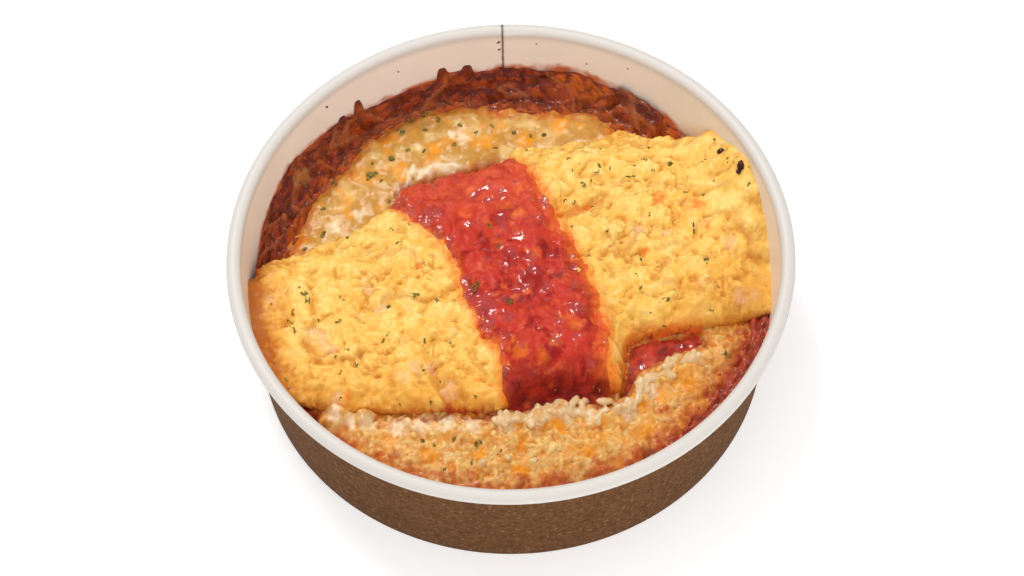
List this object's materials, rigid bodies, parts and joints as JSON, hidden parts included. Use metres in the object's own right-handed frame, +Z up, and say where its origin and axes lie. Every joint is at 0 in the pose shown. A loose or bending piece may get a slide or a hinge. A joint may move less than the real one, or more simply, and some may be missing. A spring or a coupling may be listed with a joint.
{
  "type": "baked omelette rice in a paper bowl",
  "caption": "Soft omelette with a tomato sauce stripe over rice gratin and browned meat sauce, filling a round paper bowl with a rolled rim.",
  "frame": {"origin": "centre of the bowl's foot ring, on the plane that it stands on", "axes": "+Z up along the bowl's axis; the bare gratin before the omelette is on the -Y side, and the omelette's long band runs along X"},
  "size_m": [0.15, 0.15, 0.0416],
  "materials": {
    "white_board": "matt white paper board inside, plain brown fibre board outside",
    "browned_meat_sauce": "glossy, baked dark",
    "melted_cheese": "oily satin",
    "egg": "soft satin",
    "tomato": "wet gloss"
  },
  "bodies": {
    "root": {"bowl_wall": "white_board", "bowl_base": "white_board", "meat_sauce": "browned_meat_sauce", "cheese_gratin": "melted_cheese", "omelette": "egg", "tomato_sauce": "tomato"}
  },
  "joints": []
}
